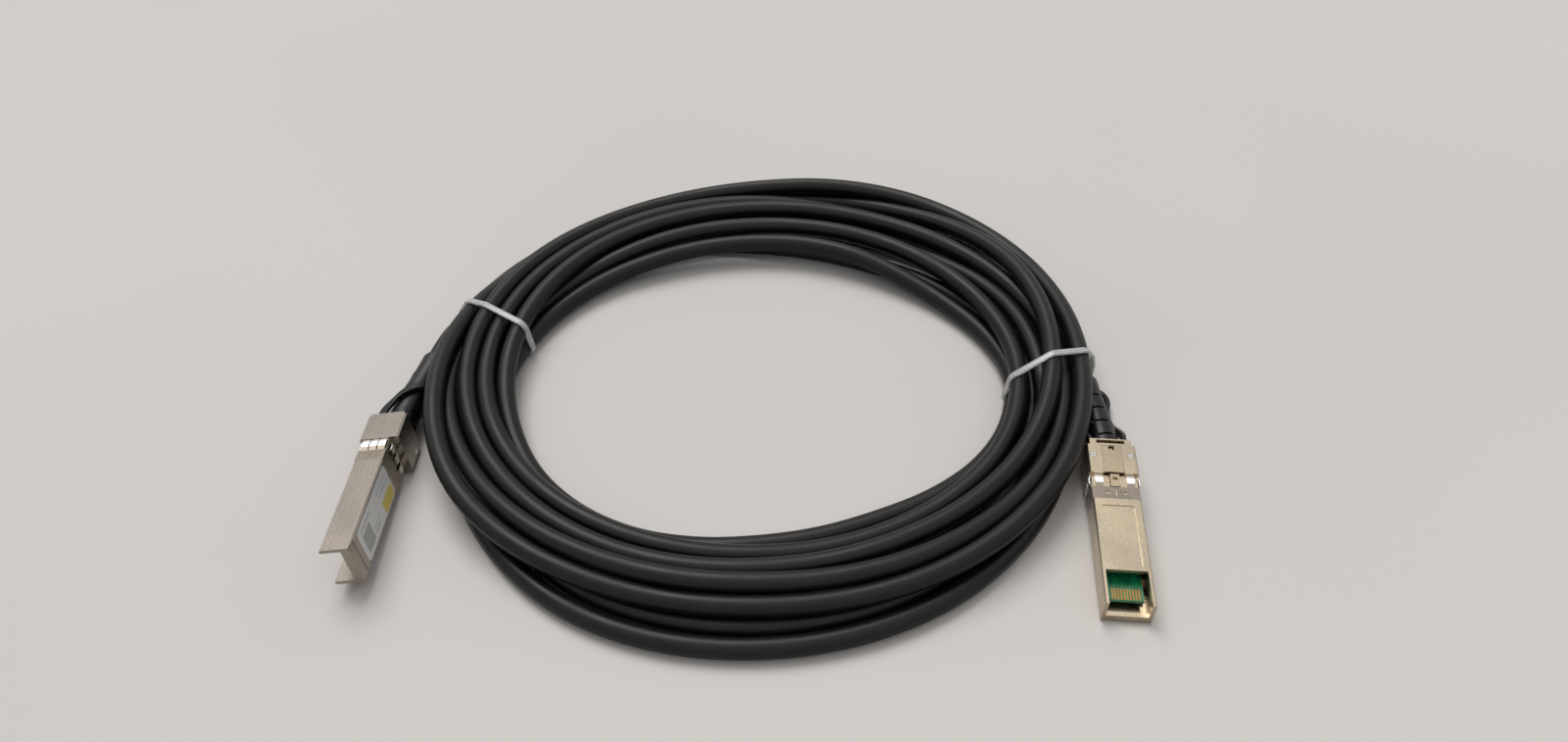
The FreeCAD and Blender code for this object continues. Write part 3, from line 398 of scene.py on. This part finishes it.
class Finish(Nodes):
    """A material, built node by node."""

    def __init__(self, name, **sockets):
        self.material = bpy.data.materials.new(name)
        self.material.use_nodes = True
        super().__init__(self.material.node_tree)
        surface = self.node("ShaderNodeBsdfPrincipled")
        self.node("ShaderNodeOutputMaterial", None, {"Surface": surface})
        self.shader = surface.socket.node
        self.set(**sockets)

    def set(self, **sockets):
        """Shader sockets by name, with _ for a space."""
        for name, value in sockets.items():
            self.plug_in(self.shader.inputs[name.replace("_", " ")], value)

    def place(self, plug=None, stretch=(1, 1, 1)):
        """Object coordinates, in a connector's own frame if that is given."""
        here = self.node("ShaderNodeTexCoord", out="Object")
        if plug is not None:
            back = plug.inverted()
            here = self.node("ShaderNodeMapping", None, {
                "Vector": here,
                "Location": tuple(back.to_translation()),
                "Rotation": tuple(back.to_euler()),
            })
        if stretch != (1, 1, 1):
            here = self.node("ShaderNodeMapping", None, {"Vector": here, "Scale": stretch})
        return here

    def axes(self, at):
        split = self.node("ShaderNodeSeparateXYZ", None, {0: at}).socket.node
        return [Socket(self, out) for out in split.outputs]

    def noise(self, at, scale, detail=3.0, roughness=0.5):
        """Noise with this many waves to a metre."""
        return self.node("ShaderNodeTexNoise", None, {
            "Vector": at, "Scale": scale, "Detail": detail, "Roughness": roughness,
        })

    def mix(self, part, low, high):
        return self.node("ShaderNodeMix", {"data_type": "RGBA"}, {0: part, 6: low, 7: high}, out=2)

    def bump(self, height, distance, strength):
        """The finished material, with a relief of this depth."""
        self.set(Normal=self.node("ShaderNodeBump", None, {
            "Height": height, "Distance": MM * distance, "Strength": strength,
        }))
        return self.material


def srgb(*colour):
    """Linear colour from the 0 to 255 that a screen shows."""
    return tuple(
        (c / 255 / 12.92) if c / 255 <= 0.04045 else ((c / 255 + 0.055) / 1.055) ** 2.4
        for c in colour
    )


def metal(name, plug, pale, dark, shine, grain, brushed):
    """Plated or cast metal: pale and dark tones, a shine that wanders, and a grain."""
    finish = Finish(name, Metallic=1.0, IOR=1.6)
    here = finish.place(plug)
    cloud = finish.noise(here, 90, 4)
    grit = finish.noise(here, 2600, 2, 0.7)
    lines = finish.noise(finish.place(plug, (1, 0.02, 1)), 3000, 2)
    tone = finish.spread(cloud, 0.3, 0.7) * 0.7 + finish.spread(lines, 0.3, 0.7) * 0.3
    smooth, rough = shine
    finish.set(
        Base_Color=finish.mix(tone, dark, pale),
        Roughness=finish.spread(cloud, 0.3, 0.7, rough, smooth) + finish.spread(grit, 0.3, 0.7, -0.03, 0.05),
    )
    return finish.bump(grit * (1 - brushed) + lines * brushed, grain, 0.6)


def spring_metal(name, plug):
    """A duller band whose bent fingers at the rear are painted near white, as a painted highlight."""
    finish = Finish(name, Metallic=1.0, IOR=1.6)
    here = finish.place(plug)
    _, along, _ = finish.axes(here)
    finger_highlight_mask = finish.spread(along, MM * FINGERS_FROM, MM * (FINGERS_FROM + 0.5))
    cloud = finish.noise(here, 160, 3)
    lines = finish.noise(finish.place(plug, (1, 0.05, 1)), 2600, 2)
    tone = finish.spread(cloud, 0.3, 0.7)
    band = finish.mix(tone, srgb(128, 119, 108), srgb(150, 140, 128))
    # Painted highlight on the fingers: near white, though they are the same spring sheet as the band.
    painted_finger_highlight = finish.mix(tone, srgb(246, 243, 240), srgb(252, 251, 250))
    finish.set(
        Base_Color=finish.mix(finger_highlight_mask, band, painted_finger_highlight),
        Roughness=finish.spread(finger_highlight_mask, 0, 1, 0.3, 0.42) + finish.spread(lines, 0.3, 0.7, -0.04, 0.04),
    )
    return finish.bump(lines, 0.02, 0.5)


def plastic(name, colour, paler, roughness, grain, specular=0.5):
    """Moulded plastic with a fine grain that catches a little dust."""
    finish = Finish(name, Specular_IOR_Level=specular)
    here = finish.place()
    cloud = finish.noise(here, 140, 3)
    grit = finish.noise(here, 1500, 2, 0.6)
    tone = finish.spread(cloud, 0.3, 0.75) * 0.6 + finish.spread(grit, 0.4, 0.8) * 0.4
    finish.set(
        Base_Color=finish.mix(tone, colour, paler),
        Roughness=finish.spread(cloud, 0.3, 0.7, roughness - 0.05, roughness + 0.07),
    )
    return finish.bump(grit, grain, 0.5)


def card(name, plug):
    """Green solder mask over faint copper tracks."""
    finish = Finish(name, Roughness=0.3, Specular_IOR_Level=0.55, Coat_Weight=0.3)
    tracks = finish.noise(finish.place(plug, (1, 0.12, 1)), 1900, 1)
    tone = finish.spread(tracks, 0.45, 0.56)
    finish.set(Base_Color=finish.mix(tone, srgb(8, 96, 60), srgb(22, 128, 82)))
    return finish.bump(tracks, 0.02, 0.5)


# Fields of colour on the label: across from and to, along from and to, how strong, and the ink.
GREY_INK = (70, 70, 72)
LABEL_FIELDS = (
    (-5.3, -1.0, 24.5, 33.0, 1, (206, 184, 40)),
    (-4.3, 2.4, 8.0, 14.2, 0.55, GREY_INK),
    (3.3, 4.3, 8.0, 17.0, 0.3, GREY_INK),
    (-4.0, -3.0, 15.4, 19.6, 0.35, GREY_INK),
    (-2.4, -1.6, 15.4, 21.0, 0.3, GREY_INK),
    (1.0, 1.7, 24.5, 32.0, 0.35, GREY_INK),
    (3.0, 3.7, 23.0, 32.5, 0.3, GREY_INK),
)


def label_film(name, plug):
    """White film with a yellow field and grey ones, and no lettering."""
    finish = Finish(name, Specular_IOR_Level=0.45, Roughness=0.34, Coat_Weight=0.15)
    here = finish.place(plug)
    across, along, _ = finish.axes(here)
    colour = finish.mix(finish.noise(here, 900, 3), srgb(206, 206, 204), srgb(222, 222, 221))
    for left, right, front, rear, strength, ink in LABEL_FIELDS:
        inside = across.above(MM * left) * across.below(MM * right)
        inside = inside * along.above(MM * front) * along.below(MM * rear)
        colour = finish.mix(inside * strength, colour, srgb(*ink))
    finish.set(Base_Color=colour)
    return finish.bump(finish.noise(here, 1200, 2), 0.01, 0.4)


def clear_nylon(name):
    """Hazy clear plastic of the ties."""
    finish = Finish(
        name, Base_Color=srgb(226, 227, 226), IOR=1.49, Transmission_Weight=0.55, Specular_IOR_Level=0.6,
    )
    here = finish.place()
    finish.set(Roughness=finish.spread(finish.noise(here, 400, 3), 0.3, 0.7, 0.12, 0.3))
    return finish.bump(finish.noise(here, 1100, 2), 0.03, 0.4)


def jacket(name):
    """Satin black jacket, with the slight drag marks and dust of a cable that has been handled."""
    finish = Finish(name, Specular_IOR_Level=0.26)
    here = finish.place()
    cloud = finish.noise(here, 60, 4)
    dust = finish.noise(here, 1800, 3, 0.65)
    tone = finish.spread(cloud, 0.35, 0.7) * 0.5 + finish.spread(dust, 0.5, 0.8) * 0.5
    finish.set(
        Base_Color=finish.mix(tone, srgb(12, 11, 10), srgb(23, 20, 18)),
        Roughness=finish.spread(cloud, 0.3, 0.7, 0.34, 0.46),
    )
    return finish.bump(dust * 0.6 + finish.noise(here, 700, 2) * 0.4, 0.05, 0.5)


# ---- the connectors' looks -------------------------------------------------------------------
# Nickel on each connector: castings pale and dark, folded sheets pale and dark. Both carry the same plating;
# connector a's tones are painted darker and cooler than b's, as painted shade.
NICKEL_AND_PAINTED_SHADE = {
    "a": ((164, 155, 146), (144, 135, 126), (166, 157, 148), (146, 137, 128)),
    "b": ((194, 180, 158), (176, 161, 138), (190, 174, 150), (170, 153, 129)),
}
BRUSHED_CASTING = {"a": 0.6, "b": 0.0}


def plug_frame(side):
    """A connector's frame: X along the latch's pin, Y from nose to boot, Z to the latch side."""
    joints = {joint["name"]: joint for joint in frame["joints"]}
    pin = joints[f"latch_{side}_rock"]
    across = Vector(pin["axis"])
    along = Vector(joints[f"pull_{side}_slide"]["axis"])
    up = across.cross(along)
    placed = Matrix((across, along, up)).transposed().to_4x4()
    placed.translation = Vector(pin["pos_m"]) - MM * (PIN_BACK * along + PIN_UP * up)
    return placed


PLUGS = {"a": plug_frame("a"), "b": plug_frame("b")}


def dress(node, material):
    """Gives a CAD node its finish."""
    for slot in NODES[node].material_slots:
        slot.link = "OBJECT"
        slot.material = material


def dress_plug(side):
    def plated(name, pale, dark, shine, grain, brushed):
        return metal(f"{name}_{side}", PLUGS[side], srgb(*pale), srgb(*dark), shine, grain, brushed)

    def moulded(name, colour, paler, roughness, grain, specular=0.5):
        return plastic(f"{name}_{side}", srgb(*colour), srgb(*paler), roughness, grain, specular)

    # Connector a's four tones here hold painted shade, darker and cooler than the same plating on b.
    cast_pale, cast_dark, sheet_pale, sheet_dark = NICKEL_AND_PAINTED_SHADE[side]
    casting = plated("nickel_casting", cast_pale, cast_dark, (0.2, 0.32), 0.04, BRUSHED_CASTING[side])
    sheet = plated("nickel_sheet", sheet_pale, sheet_dark, (0.2, 0.3), 0.03, 0.7)
    steel = plated("bright_steel", (230, 229, 227), (176, 175, 172), (0.18, 0.3), 0.02, 0.5)
    finishes = {
        "lower_shell": casting,
        "upper_shell": casting,
        "emi_collar": spring_metal(f"spring_sheet_{side}", PLUGS[side]),
        "latch_cover": sheet,
        "latch_lever": sheet,
        "lever_pin": steel,
        "pull_slider": steel,
        "screw_left": steel,
        "screw_right": steel,
        "crimp_ring": plated("crimp_brass", (206, 176, 112), (158, 128, 74), (0.25, 0.4), 0.03, 0.4),
        "contact_pads": plated("pad_gold", (176, 136, 76), (140, 104, 54), (0.25, 0.35), 0.01, 0.6),
        "wires": plated("bare_copper", (214, 140, 98), (168, 96, 60), (0.25, 0.4), 0.02, 0.5),
        "paddle_card": card(f"card_green_{side}", PLUGS[side]),
        "memory_chip": moulded("chip_black", (26, 26, 27), (40, 40, 42), 0.45, 0.01),
        "inner_mould": moulded("mould_white", (206, 202, 192), (224, 221, 212), 0.5, 0.02),
        "pull_strap": moulded("strap_black", (9, 9, 10), (18, 17, 18), 0.34, 0.03, 0.3),
        "boot": moulded("boot_black", (10, 10, 11), (19, 18, 19), 0.36, 0.04, 0.32),
    }
    for piece, material in finishes.items():
        dress(f"plug_{side}_{piece}", material)


for side in PLUGS:
    dress_plug(side)
dress("plug_a_label", label_film("label_film", PLUGS["a"]))

cord.data.materials.append(jacket("cord_jacket"))
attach(cord, "cable")
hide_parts("cable_coil", "cable_tail_a", "cable_tail_b")

tie_clear = clear_nylon("tie_clear")
add_tie("tie_right", "tie_band_right", TIE_RIGHT, TIE_STANDS_OFF, tie_clear)
add_tie("tie_left", "tie_band_left", TIE_LEFT, (), tie_clear)


# ---- floor and light -------------------------------------------------------------------------
FLOOR_REACH = 3000
SKY_COLOUR = (0.97, 0.985, 1.0)
SKY_ON_THE_PART = 0.35   # strength of the sky as a light
SKY_SEEN = 0.75          # strength of the sky as a backdrop
LAMP_COLOUR = (1.0, 0.975, 0.95)
LAMP_HEIGHT = 2000
# Each lamp: strength, width of its disc, tilt from overhead, turn about the vertical.
LAMPS = {
    "window": (1.75, 38, 30, 25),
    "ceiling": (0.45, 70, 12, 200),
}


def add_floor():
    mesh = bmesh.new()
    bmesh.ops.create_grid(mesh, x_segments=1, y_segments=1, size=MM * FLOOR_REACH)
    data = bpy.data.meshes.new("floor")
    mesh.to_mesh(data)
    mesh.free()
    floor = bpy.data.objects.new("floor", data)
    bpy.context.scene.collection.objects.link(floor)
    finish = Finish("floor_paper", Roughness=0.7, Specular_IOR_Level=0.2)
    cloud = finish.noise(finish.place(), 3, 2)
    tone = finish.spread(cloud, 0.3, 0.7)
    finish.set(Base_Color=finish.mix(tone, srgb(206, 203, 200), srgb(212, 208, 204)))
    data.materials.append(finish.material)


def add_sky():
    """A pale sky, brighter to look at or to see mirrored than it is as a light."""
    world = bpy.data.worlds.new("studio")
    bpy.context.scene.world = world
    world.use_nodes = True
    sky = Nodes(world.node_tree)
    camera, glossy, through = (
        sky.node("ShaderNodeLightPath", out=f"Is {ray} Ray") for ray in ("Camera", "Glossy", "Transmission")
    )
    seen = camera.or_more(glossy).or_more(through)
    glow = sky.node("ShaderNodeBackground", None, {
        "Color": SKY_COLOUR,
        "Strength": sky.spread(seen, 0, 1, SKY_ON_THE_PART, SKY_SEEN),
    })
    sky.node("ShaderNodeOutputWorld", None, {"Surface": glow})


def add_lamps():
    for name, (strength, disc, tilt, turn) in LAMPS.items():
        data = bpy.data.lights.new(name, "SUN")
        data.energy = strength
        data.angle = math.radians(disc)
        data.color = LAMP_COLOUR
        lamp = bpy.data.objects.new(name, data)
        bpy.context.scene.collection.objects.link(lamp)
        lamp.matrix_world = (
            Matrix.Rotation(math.radians(turn), 4, "Z")
            @ Matrix.Rotation(math.radians(-tilt), 4, "X")
            @ Matrix.Translation((0, 0, MM * LAMP_HEIGHT))
        )


add_floor()
add_sky()
add_lamps()
bpy.context.scene.view_settings.view_transform = "Standard"

bpy.context.view_layer.update()
